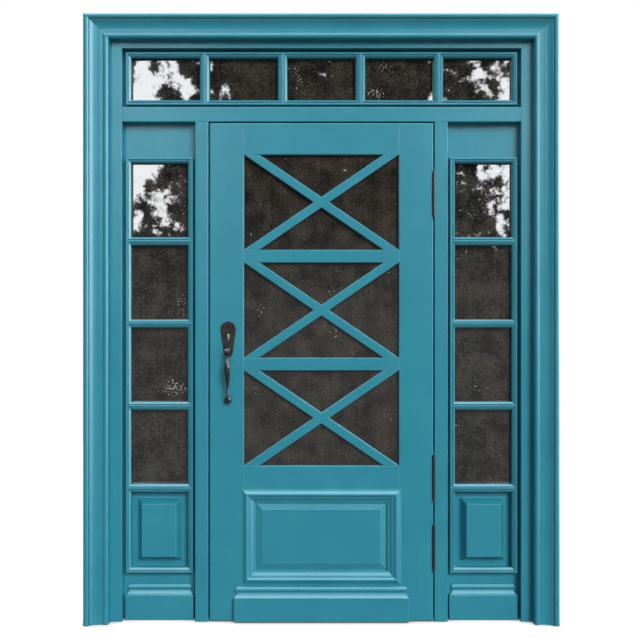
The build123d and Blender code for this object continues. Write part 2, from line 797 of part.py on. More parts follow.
# The grip runs from the plate's lower end out to its belly and back to a ball foot on the leaf
with BuildPart() as handle_grip:
    grip_x = centre_x + handle_x
    with BuildLine() as grip_line:
        Spline(
            (grip_x, -plate_thickness, grip_start_height),
            (grip_x, -grip_shoulder_reach, grip_start_height - grip_shoulder_drop),
            (grip_x, -grip_belly_reach, grip_start_height - grip_belly_drop),
            (grip_x, -grip_tail_reach, grip_start_height - grip_tail_drop),
            (grip_x, -foot_seat, foot_height),
            tangents=((0, -1, 0), grip_tail_direction),
        )
    for share, radius in grip_radii:
        with BuildSketch(Plane(origin=grip_line.line @ share, x_dir=(1, 0, 0), z_dir=grip_line.line % share)):
            Circle(radius)
    loft()
    with Locations((grip_x, -foot_seat, foot_height)):
        Sphere(foot_radius)
    split(bisect_by=elevation(0), keep=Keep.TOP)
keep(handle_grip, "handle_grip")

with BuildPart() as inner_handle_plate:
    mirror(teardrop_plate(), about=middle_of_leaf)
keep(inner_handle_plate, "inner_handle_plate")

with BuildPart() as inner_handle_grip:
    mirror(handle_grip.part, about=middle_of_leaf)
keep(inner_handle_grip, "inner_handle_grip")

with BuildPart() as thumb_piece:
    side_view = Plane(origin=(centre_x + handle_x, 0, 0), x_dir=(0, 1, 0), z_dir=(1, 0, 0))
    tongue_top = thumb_pivot_height + thumb_eye_radius
    tip_y = thumb_pivot_y - thumb_reach
    with BuildSketch(side_view):
        with BuildLine():
            tongue_line = tongue_top - thumb_thickness / 2
            Line((thumb_pivot_y, tongue_line), (tip_y + thumb_curl, tongue_line))
            TangentArc((tip_y + thumb_curl, tongue_line), (tip_y, tongue_top - thumb_drop), tangent=(-1, 0))
        trace(line_width=thumb_thickness)
    extrude(amount=thumb_width / 2, both=True)
    with BuildSketch(side_view):
        with Locations((thumb_pivot_y, thumb_pivot_height)):
            Rectangle(thumb_notch, thumb_notch)
    extrude(amount=thumb_width, both=True, mode=Mode.SUBTRACT)
    with BuildSketch(side_view):
        with Locations((thumb_pivot_y, thumb_pivot_height)):
            Circle(thumb_eye_radius)
        with Locations((thumb_pivot_y - thumb_eye_radius, tongue_line)):
            Rectangle(2 * thumb_eye_radius, thumb_thickness)
    extrude(amount=thumb_eye_width / 2, both=True)
    with Locations((centre_x + handle_x, thumb_pivot_y, thumb_pivot_height)):
        Cylinder(
            thumb_pin_radius + pin_clearance,
            2 * thumb_width,
            rotation=(0, 90, 0),
            mode=Mode.SUBTRACT,
        )
keep(thumb_piece, "thumb_piece")
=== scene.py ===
# %% [markdown]
# # A painted entrance door set
# The construction of this door is already modelled: stiles, rails, sashes, mouldings, hinges and handle
# come in as solids at their real size. This lesson gives every surface its finish, adds a finer panel
# moulding and the hinge screws, and lights the set the way it was photographed. First the solids are
# loaded and their box is noted, because nothing that is added here may make the door bigger.

# %% Load the solids
import json
import math

import bmesh
import bpy
from mathutils import Matrix, Vector


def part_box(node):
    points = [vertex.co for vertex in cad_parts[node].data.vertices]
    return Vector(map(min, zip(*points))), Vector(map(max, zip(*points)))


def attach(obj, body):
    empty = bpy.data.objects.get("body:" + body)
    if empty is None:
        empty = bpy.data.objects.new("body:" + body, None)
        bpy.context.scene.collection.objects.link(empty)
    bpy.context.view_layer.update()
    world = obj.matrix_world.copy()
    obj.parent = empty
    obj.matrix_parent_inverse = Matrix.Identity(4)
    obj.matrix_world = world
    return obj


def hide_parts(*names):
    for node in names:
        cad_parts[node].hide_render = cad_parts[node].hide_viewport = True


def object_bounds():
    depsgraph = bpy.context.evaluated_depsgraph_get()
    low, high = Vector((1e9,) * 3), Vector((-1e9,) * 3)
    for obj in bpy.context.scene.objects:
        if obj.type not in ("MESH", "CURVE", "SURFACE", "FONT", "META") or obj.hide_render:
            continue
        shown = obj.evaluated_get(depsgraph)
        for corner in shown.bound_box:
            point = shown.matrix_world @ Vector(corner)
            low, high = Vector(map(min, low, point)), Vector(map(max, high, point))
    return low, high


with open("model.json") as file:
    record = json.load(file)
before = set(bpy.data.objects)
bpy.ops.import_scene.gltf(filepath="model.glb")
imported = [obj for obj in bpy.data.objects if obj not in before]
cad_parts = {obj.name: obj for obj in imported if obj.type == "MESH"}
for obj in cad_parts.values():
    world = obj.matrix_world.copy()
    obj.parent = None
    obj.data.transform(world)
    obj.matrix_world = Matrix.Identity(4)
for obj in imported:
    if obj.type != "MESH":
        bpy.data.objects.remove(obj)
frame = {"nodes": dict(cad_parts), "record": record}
cad_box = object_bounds()
scene = bpy.context.scene
scene.view_settings.view_transform = "Standard"
solid_size = [round(1000 * (high - low)) for low, high in zip(*cad_box)]
print("loaded", len(frame["nodes"]), "pieces, in millimetres", solid_size)

# %% [markdown]
# ## Camera
# The photograph looks squarely at the door from its middle height: both sides of the frame show the same
# amount, and the sills and rails show no slope. A 50 mm lens at 3.6 m gives the same small parallax in
# the deep casing. The lens shift moves the door by a pixel, as in the photograph. Turning the camera
# would do that too, but then upright lines would no longer stay parallel.

# %% Camera
MM = 0.001
PICTURE_PIXELS = 640
head_low, head_high = [Vector(corner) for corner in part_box("casing_head")]
middle_x = (head_low.x + head_high.x) / 2
eye_height = 1233.5 * MM
eye_distance = 3630.5 * MM
pixels_to_the_right = 1.4
pixels_up = 0.3

camera = bpy.data.objects.new("camera", bpy.data.cameras.new("camera"))
scene.collection.objects.link(camera)
camera.data.lens = 50
camera.data.sensor_width = 36
camera.data.shift_x = -pixels_to_the_right / PICTURE_PIXELS
camera.data.shift_y = -pixels_up / PICTURE_PIXELS
camera.location = (middle_x, -eye_distance, eye_height)
camera.rotation_euler = (math.radians(90), 0, 0)
scene.camera = camera
print("camera stands", round(eye_distance, 2), "m in front of the wall")

# %% [markdown]
# ## Helpers for materials
# Colours are written as sRGB hex values, as a paint chart gives them, and one function turns them to the
# linear values that the renderer adds up. Another adds one node, sets it and links it, so that a material
# below reads like a recipe. A Mix node keeps sockets for numbers and for colours side by side under the
# same names, so those sockets are picked by number.

# %% Colours and nodes
MIX_BY = 0
NUMBER_A = 2
NUMBER_B = 3
COLOUR_A = 6
COLOUR_B = 7
MIXED_NUMBER = 0
MIXED_COLOUR = 2


def linear(hex_colour):
    """Linear colour of an sRGB hex value."""
    channels = [int(hex_colour[i:i + 2], 16) / 255 for i in (1, 3, 5)]
    return [c / 12.92 if c <= 0.04045 else ((c + 0.055) / 1.055) ** 2.4 for c in channels] + [1.0]


def add_node(tree, kind, inputs=None, **settings):
    """Adds a node. An input is given a value, or the socket it is linked to."""
    made = tree.nodes.new(kind)
    for name, value in settings.items():
        setattr(made, name, value)
    for name, value in (inputs or {}).items():
        if isinstance(value, bpy.types.NodeSocket):
            tree.links.new(value, made.inputs[name])
        else:
            made.inputs[name].default_value = value
    return made


def new_material(name):
    """An empty node material."""
    material = bpy.data.materials.new(name)
    material.use_nodes = True
    material.node_tree.nodes.clear()
    return material


print("middle grey in linear values:", round(linear("#808080")[0], 3))

# %% [markdown]
# ## Paint film
# The frame and the leaf are timber under a brushed satin enamel. The eye gets an even teal, slightly
# uneven where the film is thicker, with faint brush lines that run with each board and a fine orange
# peel. The lines are really about 2 mm apart. They are drawn 7 mm wide, because finer ones vanish at this
# distance. An image of brushed paint would do as well, but noise that is stretched along the board has no
# edges and fits every piece.

# %% Paint film
PAINT_THIN = "#278095"
PAINT_THICK = "#2e899b"
brush_line = 7 * MM
brush_stroke = 420 * MM
film_patch = 160 * MM
orange_peel = 5 * MM
brush_share = 0.35
peel_share = 0.4


def paint_film(tree, stroke_axis):
    """Colour and relief of enamel that was brushed along one axis."""
    place = add_node(tree, "ShaderNodeTexCoord").outputs["Object"]
    stretch = [1 / brush_line] * 3
    stretch[stroke_axis] = 1 / brush_stroke
    strokes = add_node(tree, "ShaderNodeMapping", {"Vector": place, "Scale": stretch})
    lines = add_node(tree, "ShaderNodeTexNoise", {
        "Vector": strokes.outputs["Vector"], "Scale": 1.0, "Detail": 3.0})
    patches = add_node(tree, "ShaderNodeTexNoise", {
        "Vector": place, "Scale": 1 / film_patch, "Detail": 1.0})
    peel = add_node(tree, "ShaderNodeTexNoise", {"Vector": place, "Scale": 1 / orange_peel, "Detail": 1.0})
    film = add_node(tree, "ShaderNodeMix", {
        MIX_BY: brush_share, NUMBER_A: patches.outputs["Fac"], NUMBER_B: lines.outputs["Fac"]})
    thickness = add_node(tree, "ShaderNodeMapRange", {
        "Value": film.outputs[MIXED_NUMBER], "From Min": 0.3, "From Max": 0.7})
    tint = add_node(tree, "ShaderNodeMix", {
        MIX_BY: thickness.outputs["Result"], COLOUR_A: linear(PAINT_THIN), COLOUR_B: linear(PAINT_THICK)},
        data_type="RGBA")
    relief = add_node(tree, "ShaderNodeMix", {
        MIX_BY: peel_share, NUMBER_A: lines.outputs["Fac"], NUMBER_B: peel.outputs["Fac"]})
    return tint.outputs[MIXED_COLOUR], relief.outputs[MIXED_NUMBER]


print("paint film from", PAINT_THIN, "to", PAINT_THICK)

# %% [markdown]
# ## Paint on edges and in corners
# Paint rounds a sharp arris. Along it the colour is drawn paler, partly as thin worn paint and partly as a
# painted highlight, and in the corners it is drawn darker as painted shade. The Bevel node gives the
# rounded normal, and an edge is where that differs from the true face. Ambient occlusion then tells the two
# kinds
# of edge apart: an outward one is open all round, and an inward one is closed in. Vertex paint could say
# the same, but would have to be made for every piece.

# %% Paint on edges and in corners
ARRIS_WEAR_AND_HIGHLIGHT = "#74b5c4"
CORNER_SHADE = "#123a45"
painted_arris = 2.4 * MM
corner_reach = 9 * MM
most_arris_highlight = 0.8
most_corner_shade = 0.5


def paint_arris_highlight_and_corner_shade(tree, film_colour):
    """Colour with a painted highlight along the arrises, partly pale worn paint, painted shade in the
    corners, and the normal that rounds the arrises.
    """
    arris = add_node(tree, "ShaderNodeBevel", {"Radius": painted_arris}, samples=6)
    true_face = add_node(tree, "ShaderNodeNewGeometry")
    likeness = add_node(tree, "ShaderNodeVectorMath", {
        0: arris.outputs["Normal"], 1: true_face.outputs["Normal"]}, operation="DOT_PRODUCT")
    on_edge = add_node(tree, "ShaderNodeMapRange", {
        "Value": likeness.outputs["Value"], "From Min": 0.975, "From Max": 0.87})
    corners = add_node(tree, "ShaderNodeAmbientOcclusion", {"Distance": corner_reach}, samples=6)
    outward = add_node(tree, "ShaderNodeMapRange", {
        "Value": corners.outputs["AO"], "From Min": 0.75, "From Max": 0.95, "To Max": most_arris_highlight})
    # Painted highlight on outward arrises, partly pale worn paint.
    arris_highlight = add_node(tree, "ShaderNodeMath", {
        0: on_edge.outputs["Result"], 1: outward.outputs["Result"]}, operation="MULTIPLY")
    with_arris_highlight = add_node(tree, "ShaderNodeMix", {
        MIX_BY: arris_highlight.outputs[0], COLOUR_A: film_colour, COLOUR_B: linear(ARRIS_WEAR_AND_HIGHLIGHT)},
        data_type="RGBA")
    # Painted shade: inward corners and creases are drawn darker.
    inward = add_node(tree, "ShaderNodeMapRange", {
        "Value": corners.outputs["AO"], "From Min": 0.6, "From Max": 0.2, "To Max": most_corner_shade})
    corner_shaded = add_node(tree, "ShaderNodeMix", {
        MIX_BY: inward.outputs["Result"], COLOUR_A: with_arris_highlight.outputs[MIXED_COLOUR], COLOUR_B: linear(CORNER_SHADE)},
        data_type="RGBA")
    return corner_shaded.outputs[MIXED_COLOUR], arris.outputs["Normal"]


print("arrises are rounded by", round(painted_arris / MM, 1), "mm")

# %% [markdown]
# ## Painted timber
# Film, the painted arris highlight and the painted corner shade come together under one satin sheen.
# Enamel has an index of about 1.5, and the highlights in the photograph ask for a little more. One material
# could turn its brush lines by each piece's shape, but two that differ only in the way the lines run, up
# and down or sideways, are easier to follow.

# %% Painted timber
UPRIGHT = 2
SIDEWAYS = 0
brush_relief = 0.3 * MM


def painted_timber(name, stroke_axis):
    """Satin enamel on timber, brushed along one axis."""
    material = new_material(name)
    tree = material.node_tree
    film_colour, relief = paint_film(tree, stroke_axis)
    # Painted arris highlight and painted corner shade, with the rounded normal.
    colour, rounded = paint_arris_highlight_and_corner_shade(tree, film_colour)
    bump = add_node(tree, "ShaderNodeBump", {
        "Strength": 0.07, "Distance": brush_relief, "Height": relief, "Normal": rounded})
    paint = add_node(tree, "ShaderNodeBsdfPrincipled", {
        "Base Color": colour, "Roughness": 0.3, "IOR": 1.62, "Normal": bump.outputs["Normal"]})
    add_node(tree, "ShaderNodeOutputMaterial", {"Surface": paint.outputs["BSDF"]})
    return material


upright_paint = painted_timber("satin_enamel_on_upright_timber", UPRIGHT)
level_paint = painted_timber("satin_enamel_on_level_timber", SIDEWAYS)
print("paint:", upright_paint.name, "and", level_paint.name)

# %% [markdown]
# ## Dust on the glass
# The panes carry a film of old dust: fine grain, clouds the size of a hand, and streaks where rain ran
# down. Here and there pale splashes gather in clusters. Grain and splashes are really finer than a
# millimetre or two, and are drawn 6 and 9 mm wide so that they show. A splash appears only where two
# noises, a fine and a coarse one, are both high, which is what makes the clusters.

# %% Dust on the glass
GLASS_PAINTED_SHADE = "#161514"
GLASS_DUST = "#443f38"
GLASS_FLECK = "#98938a"
dust_grain = 6 * MM
dust_cloud = 70 * MM
streak_width = 7 * MM
streak_length = 180 * MM
fleck_size = 9 * MM
fleck_cluster = 110 * MM
streak_share = 0.25
grain_share = 0.5

glass_with_painted_shade = new_material("plate_glass_with_painted_shade")
tree = glass_with_painted_shade.node_tree
place = add_node(tree, "ShaderNodeTexCoord").outputs["Object"]
grain = add_node(tree, "ShaderNodeTexNoise", {"Vector": place, "Scale": 1 / dust_grain, "Detail": 2.0})
clouds = add_node(tree, "ShaderNodeTexNoise", {"Vector": place, "Scale": 1 / dust_cloud, "Detail": 4.0})
downwards = add_node(tree, "ShaderNodeMapping", {
    "Vector": place, "Scale": (1 / streak_width, 1 / streak_width, 1 / streak_length)})
streaks = add_node(tree, "ShaderNodeTexNoise", {
    "Vector": downwards.outputs["Vector"], "Scale": 1.0, "Detail": 2.0})
film = add_node(tree, "ShaderNodeMix", {
    MIX_BY: streak_share, NUMBER_A: clouds.outputs["Fac"], NUMBER_B: streaks.outputs["Fac"]})
dust = add_node(tree, "ShaderNodeMix", {
    MIX_BY: grain_share, NUMBER_A: film.outputs[MIXED_NUMBER], NUMBER_B: grain.outputs["Fac"]})
dusty = add_node(tree, "ShaderNodeMapRange", {
    "Value": dust.outputs[MIXED_NUMBER], "From Min": 0.42, "From Max": 0.6})
# The dark colour of the panes is painted shade for the unlit room behind them, with dust over it.
body = add_node(tree, "ShaderNodeMix", {
    MIX_BY: dusty.outputs["Result"], COLOUR_A: linear(GLASS_PAINTED_SHADE), COLOUR_B: linear(GLASS_DUST)},
    data_type="RGBA")
specks = add_node(tree, "ShaderNodeTexNoise", {"Vector": place, "Scale": 1 / fleck_size, "Detail": 1.0})
clusters = add_node(tree, "ShaderNodeTexNoise", {
    "Vector": place, "Scale": 1 / fleck_cluster, "Detail": 1.0})
gathered = add_node(tree, "ShaderNodeMath", {
    0: specks.outputs["Fac"], 1: clusters.outputs["Fac"]}, operation="MULTIPLY")
flecks = add_node(tree, "ShaderNodeMapRange", {
    "Value": gathered.outputs[0], "From Min": 0.45, "From Max": 0.49})
spotted = add_node(tree, "ShaderNodeMix", {
    MIX_BY: flecks.outputs["Result"], COLOUR_A: body.outputs[MIXED_COLOUR], COLOUR_B: linear(GLASS_FLECK)},
    data_type="RGBA")
print("dust from", GLASS_PAINTED_SHADE, "to", GLASS_DUST)

# %% [markdown]
# ## Plate glass with painted shade
# The panes are opaque, and the dark room behind them is painted into their colour as painted shade, so
# nothing behind them shows. They could be made see-through, but against a white studio they would turn
# white, and the photograph shows them nearly black. A body of painted shade under a strong clear
# reflection gives that look. The reflection is that of both faces of a coated pane, hence the high index,
# and old plate is never quite flat, so it waves a little.

# %% Plate glass with painted shade
glass_wave = 90 * MM
wave_height = 1 * MM
most_haze = 0.03

haze = add_node(tree, "ShaderNodeMapRange", {"Value": dust.outputs[MIXED_NUMBER], "To Max": most_haze})
waves = add_node(tree, "ShaderNodeTexNoise", {"Vector": place, "Scale": 1 / glass_wave, "Detail": 2.0})
wavy = add_node(tree, "ShaderNodeBump", {
    "Strength": 0.03, "Distance": wave_height, "Height": waves.outputs["Fac"]})
pane = add_node(tree, "ShaderNodeBsdfPrincipled", {
    "Base Color": spotted.outputs[MIXED_COLOUR], "Roughness": haze.outputs["Result"], "IOR": 2.0,
    "Normal": wavy.outputs["Normal"]})
add_node(tree, "ShaderNodeOutputMaterial", {"Surface": pane.outputs["BSDF"]})
print("glass:", glass_with_painted_shade.name)

# %% [markdown]
# ## Patina
# Hinges and handle are cast bronze under a nearly black patina, which is rubbed back to bright metal
# along the edges that hands touch. The wear could be painted on by hand, but the shape already knows its
# edges: as with the paint, an edge is where the rounded normal leaves the true one, and here only the
# sharper edges count.

# %% Patina
PATINA_DARK = "#323031"
PATINA_WARM = "#4a4545"
RUBBED = "#a8968e"
patina_patch = 14 * MM
rubbed_edge = 2.2 * MM
most_worn = 0.7

dark_bronze = new_material("patinated_cast_bronze")
tree = dark_bronze.node_tree
place = add_node(tree, "ShaderNodeTexCoord").outputs["Object"]
patina = add_node(tree, "ShaderNodeTexNoise", {"Vector": place, "Scale": 1 / patina_patch, "Detail": 4.0})
warmth = add_node(tree, "ShaderNodeMapRange", {
    "Value": patina.outputs["Fac"], "From Min": 0.35, "From Max": 0.68})
tone = add_node(tree, "ShaderNodeMix", {
    MIX_BY: warmth.outputs["Result"], COLOUR_A: linear(PATINA_DARK), COLOUR_B: linear(PATINA_WARM)},
    data_type="RGBA")
rounded = add_node(tree, "ShaderNodeBevel", {"Radius": rubbed_edge}, samples=6)
true_face = add_node(tree, "ShaderNodeNewGeometry")
likeness = add_node(tree, "ShaderNodeVectorMath", {
    0: rounded.outputs["Normal"], 1: true_face.outputs["Normal"]}, operation="DOT_PRODUCT")
rub = add_node(tree, "ShaderNodeMapRange", {
    "Value": likeness.outputs["Value"], "From Min": 0.92, "From Max": 0.7, "To Max": most_worn})
worn = add_node(tree, "ShaderNodeMix", {
    MIX_BY: rub.outputs["Result"], COLOUR_A: tone.outputs[MIXED_COLOUR], COLOUR_B: linear(RUBBED)},
    data_type="RGBA")
print("patina from", PATINA_DARK, "to", PATINA_WARM)

# %% [markdown]
# ## Polished keyhole cover
# The small drop-shaped cover over the keyhole is polished by keys, and its one bright spot on the dark
# plate is a painted highlight: the cover is drawn near white. It could be a piece of its own, but it is
# part of the plate's solid, so the material finds it by its place: the distance from the cover's middle,
# with each direction divided by the cover's reach, is below one inside it.

# %% Polished keyhole cover
POLISHED_HIGHLIGHT = "#e6ecec"
plate_low, plate_high = [Vector(corner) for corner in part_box("handle_plate")]
cover_drop = 63.5 * MM
cover_proud = 8 * MM
cover_place = ((plate_low.x + plate_high.x) / 2, plate_high.y - cover_proud, plate_high.z - cover_drop)
cover_reach = (5.4 * MM, 2.6 * MM, 13.5 * MM)

from_cover = add_node(tree, "ShaderNodeVectorMath", {0: place, 1: cover_place}, operation="SUBTRACT")
in_cover = add_node(tree, "ShaderNodeVectorMath", {
    0: from_cover.outputs["Vector"], 1: cover_reach}, operation="DIVIDE")
cover_span = add_node(tree, "ShaderNodeVectorMath", {0: in_cover.outputs["Vector"]}, operation="LENGTH")
polish_and_highlight = add_node(tree, "ShaderNodeMapRange", {
    "Value": cover_span.outputs["Value"], "From Min": 1.0, "From Max": 0.9})
# Painted highlight: the polished cover is drawn near white, as the bright spot on the plate.
with_cover_highlight = add_node(tree, "ShaderNodeMix", {
    MIX_BY: polish_and_highlight.outputs["Result"], COLOUR_A: worn.outputs[MIXED_COLOUR], COLOUR_B: linear(POLISHED_HIGHLIGHT)},
    data_type="RGBA")
print("keyhole cover at", [round(v / MM, 1) for v in cover_place], "mm")

# %% [markdown]
# ## Cast bronze
# As full metal the handle would mirror only the dark trees and turn black. But patina is a crust and not
# a metal, so the metal share is below a half where it lies, higher where it is rubbed, and full on the
# polished cover. The casting's grain is drawn 2.5 mm wide, coarser than it is, so that it breaks up the
# highlights a little.

# %% Cast bronze
casting_grain = 2.5 * MM
grain_depth = 0.3 * MM
patina_metal = 0.45

grain = add_node(tree, "ShaderNodeTexNoise", {"Vector": place, "Scale": 1 / casting_grain, "Detail": 2.0})
cast = add_node(tree, "ShaderNodeBump", {
    "Strength": 0.15, "Distance": grain_depth, "Height": grain.outputs["Fac"]})
gloss = add_node(tree, "ShaderNodeMapRange", {
    "Value": patina.outputs["Fac"], "To Min": 0.16, "To Max": 0.3})
bare = add_node(tree, "ShaderNodeMath", {
    0: rub.outputs["Result"], 1: polish_and_highlight.outputs["Result"]}, operation="MAXIMUM")
metal = add_node(tree, "ShaderNodeMapRange", {"Value": bare.outputs[0], "To Min": patina_metal})
bronze = add_node(tree, "ShaderNodeBsdfPrincipled", {
    "Base Color": with_cover_highlight.outputs[MIXED_COLOUR], "Metallic": metal.outputs["Result"],
    "Roughness": gloss.outputs["Result"], "Normal": cast.outputs["Normal"]})
add_node(tree, "ShaderNodeOutputMaterial", {"Surface": bronze.outputs["BSDF"]})
print("metal:", dark_bronze.name)

# %% [markdown]
# ## Every solid gets its finish
# Every piece could be given its material by name, but the record already says which are timber, glass and
# bronze. Only the boards that lie level are listed here: they get the paint whose brush lines run
# sideways, and all the others the paint that was brushed up and down.

# %% Finishes
level_pieces = {
    "casing_head", "head_jamb", "transom_bar", "transom_board", "transom_sash", "leaf_top_rail",
    "leaf_upper_glazing_rail", "leaf_lower_glazing_rail", "leaf_lock_rail", "leaf_bottom_rail",
    "leaf_panel", "leaf_panel_moulding", "leaf_plinth", "left_sidelight_plinth", "right_sidelight_plinth",
    "leaf_upper_cross", "leaf_middle_cross", "leaf_lower_cross",
}
finish_of = {"glass": glass_with_painted_shade, "dark_bronze": dark_bronze}
slot_of = {subpart["node"]: subpart["material_slot"] for subpart in frame["record"]["subparts"]}
count = {}
for name, slot_name in slot_of.items():
    paint = level_paint if name in level_pieces else upright_paint
    finish = finish_of.get(slot_name, paint)
    for slot in frame["nodes"][name].material_slots:
        slot.material = finish
    count[finish.name] = count.get(finish.name, 0) + 1
print("finished pieces:", count)

# %% [markdown]
# ## Section of the panel moulding
# The moulding round the leaf's panel is planed to an ogee, a full roll, a small fillet and a hollow
# slope, and its four runs are mitred. The solid has the same run in plainer form. The section below is
# drawn as a maker would, by how far each point lies inside the moulding's outer edge, and how far it
# stands proud of the leaf's face, both in millimetres. A curve object could sweep it, but a bmesh needs
# only the section at one corner: the loop is extruded and mirrored across the panel, which lands it at
# the next corner, already mitred.

# %% Section of the panel moulding
moulding_section = (
    (0, 0), (0, 1.0), (4, 1.8), (8, 4.2), (11, 7.6), (13.5, 10.4), (16.5, 12.4), (19.5, 13.0),
    (22.5, 12.2), (25, 10.2), (27, 7.6), (28.5, 5.8), (31, 5.2), (35, 3.9), (38, 2.2), (43, -1.8),
    (48, -5.0), (51.5, -5.6), (55, -5.6), (55, -14), (8, -14), (8, 0),
)
moulding_low, moulding_high = [Vector(corner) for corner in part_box("leaf_panel_moulding")]
moulding_middle = (moulding_low + moulding_high) / 2
stile_low, stile_high = [Vector(corner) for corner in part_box("leaf_hinge_stile")]
leaf_half = (stile_high.y - stile_low.y) / 2
SIDE_TO_SIDE = Vector((1, 0, 0))
UP_AND_DOWN = Vector((0, 0, 1))


def moulding_ring(mesh, facing):
    """The section, run round the panel on one face of the leaf."""
    loop = []
    for inside, proud in moulding_section:
        depth = moulding_middle.y + facing * (leaf_half + proud * MM)
        loop.append(mesh.verts.new((moulding_low.x + inside * MM, depth, moulding_low.z + inside * MM)))
    edges = [mesh.edges.new((loop[i - 1], loop[i])) for i in range(len(loop))]
    to_middle = Matrix.Translation(moulding_middle)
    for across in (SIDE_TO_SIDE, UP_AND_DOWN, SIDE_TO_SIDE, UP_AND_DOWN):
        grown = bmesh.ops.extrude_edge_only(mesh, edges=edges)["geom"]
        verts = [item for item in grown if isinstance(item, bmesh.types.BMVert)]
        edges = [item for item in grown if isinstance(item, bmesh.types.BMEdge)]
        edges = [edge for edge in edges if edge.verts[0] in verts and edge.verts[1] in verts]
        mirror = to_middle @ Matrix.Scale(-1, 4, across) @ to_middle.inverted()
        bmesh.ops.transform(mesh, verts=verts, matrix=mirror)


print("the section has", len(moulding_section), "points")

# %% [markdown]
# ## Panel moulding
# One ring is made on each face of the leaf. The fourth step of a ring comes back to its first corner, so
# merging the doubles closes it. The roll is shaded smooth along its run, while the mitres and the quirks
# stay sharp, as they are on planed timber. The piece stands for the plainer solid.

# %% Panel moulding
FRONT = -1
BACK = 1
weld = 0.01 * MM
smooth_below = math.radians(32)
shortest_run = 100 * MM

moulding_mesh = bmesh.new()
moulding_ring(moulding_mesh, FRONT)
moulding_ring(moulding_mesh, BACK)
bmesh.ops.remove_doubles(moulding_mesh, verts=moulding_mesh.verts, dist=weld)
bmesh.ops.recalc_face_normals(moulding_mesh, faces=moulding_mesh.faces)
for face in moulding_mesh.faces:
    face.smooth = True
for edge in moulding_mesh.edges:
    along_the_run = edge.calc_length() > shortest_run
    edge.smooth = along_the_run and edge.calc_face_angle() < smooth_below

moulding_data = bpy.data.meshes.new("panel_moulding")
moulding_mesh.to_mesh(moulding_data)
moulding_mesh.free()
moulding_data.materials.append(level_paint)
panel_moulding = bpy.data.objects.new("panel_moulding", moulding_data)
scene.collection.objects.link(panel_moulding)
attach(panel_moulding, "leaf")
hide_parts("leaf_panel_moulding")
print("panel moulding has", len(moulding_data.polygons), "faces")

# %% [markdown]
# ## One screw head
# Each hinge flap is let into its edge and held by three countersunk screws, which show once the leaf is
# open. A screw's head is a disc with a short rim: two cuts part a strip across it, and that strip is
# pushed in to make the slot. A boolean could cut the slot too, but would leave a rougher mesh.

# %% One screw head
head_radius = 3.6 * MM
head_rise = 0.5 * MM
head_corners = 20
slot_width = 1.0 * MM
slot_depth = 0.4 * MM
slot_draft = 0.05 * MM
near_middle = 0.01 * MM


def screw_head(mesh):
    """One slotted head round the origin, looking up Z."""
    rim = bmesh.ops.create_circle(mesh, cap_ends=True, segments=head_corners, radius=head_radius)["verts"]
    disc = rim[0].link_faces[0]
    walls = bmesh.ops.extrude_edge_only(mesh, edges=disc.edges[:])["geom"]
    foot = [item for item in walls if isinstance(item, bmesh.types.BMVert)]
    bmesh.ops.translate(mesh, verts=foot, vec=(0, 0, -head_rise))
    for side in (-1, 1):
        whole = mesh.verts[:] + mesh.edges[:] + mesh.faces[:]
        cut = (side * slot_width / 2, 0, 0)
        bmesh.ops.bisect_plane(mesh, geom=whole, plane_co=cut, plane_no=(1, 0, 0))
    strip = [face for face in mesh.faces if face.calc_center_median().length < near_middle]
    bmesh.ops.inset_region(mesh, faces=strip, thickness=slot_draft, depth=-slot_depth)


print("screw heads are", round(2 * head_radius / MM, 1), "mm across")

# %% [markdown]
# ## Hinge screws
# The leaf's flaps reach up from the middle of each hinge, and the frame's flaps down. The head is made
# once, then duplicated, laid flat on each flap and turned a little further each time, as a hand would
# leave the slots. The pattern is deleted at the end. Each screw could be an object of its own, but all
# the screws of one side move together, so they are one piece.

# %% Hinge screws
TOWARDS_FRAME = 1
TOWARDS_LEAF = -1
ABOVE_MIDDLE = 1
BELOW_MIDDLE = -1
hinge_gap = 5 * MM
leaf_flap_x = stile_high.x
frame_flap_x = leaf_flap_x + hinge_gap
hinge_heights = (302 * MM, 588 * MM, 1746 * MM)
screw_heights = (18 * MM, 45 * MM, 72 * MM)
screw_depths = (10 * MM, 24 * MM, 10 * MM)
first_turn = 20
next_turn = 47


def flap_screws(name, body, face_x, facing, upwards):
    """Three screws on each of the three flaps on one side."""
    mesh = bmesh.new()
    screw_head(mesh)
    pattern = mesh.verts[:] + mesh.edges[:] + mesh.faces[:]
    turn = first_turn
    for hinge_height in hinge_heights:
        for rise, depth in zip(screw_heights, screw_depths):
            copy = bmesh.ops.duplicate(mesh, geom=pattern)["geom"]
            verts = [item for item in copy if isinstance(item, bmesh.types.BMVert)]
            seat = Matrix.Translation((face_x + facing * head_rise, depth, hinge_height + upwards * rise))
            lay = Matrix.Rotation(math.radians(90 * facing), 4, "Y")
            slot_turn = Matrix.Rotation(math.radians(turn), 4, "Z")
            bmesh.ops.transform(mesh, verts=verts, matrix=seat @ lay @ slot_turn)
            turn += next_turn
    pattern_verts = [item for item in pattern if isinstance(item, bmesh.types.BMVert)]
    bmesh.ops.delete(mesh, geom=pattern_verts, context="VERTS")
    data = bpy.data.meshes.new(name)
    mesh.to_mesh(data)
    mesh.free()
    data.materials.append(dark_bronze)
    piece = bpy.data.objects.new(name, data)
    scene.collection.objects.link(piece)
    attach(piece, body)
    print(name, "has", len(data.polygons), "faces")


flap_screws("hinge_screws_leaf", "leaf", leaf_flap_x, TOWARDS_FRAME, ABOVE_MIDDLE)
flap_screws("hinge_screws_frame", "frame", frame_flap_x, TOWARDS_LEAF, BELOW_MIDDLE)

# %% [markdown]
# ## Floor
# The photograph has nothing but white round the door. A pale floor carries the door's soft shadow: for
# the camera it glows just enough to be white, except close to the door, where ambient occlusion dims the
# glow into a painted contact shadow. For mirrored rays it is clear, so that the lower bevels mirror the
# same surroundings as the upper ones, and for all other rays it is a plain grey floor, which throws little
# light up at the door.

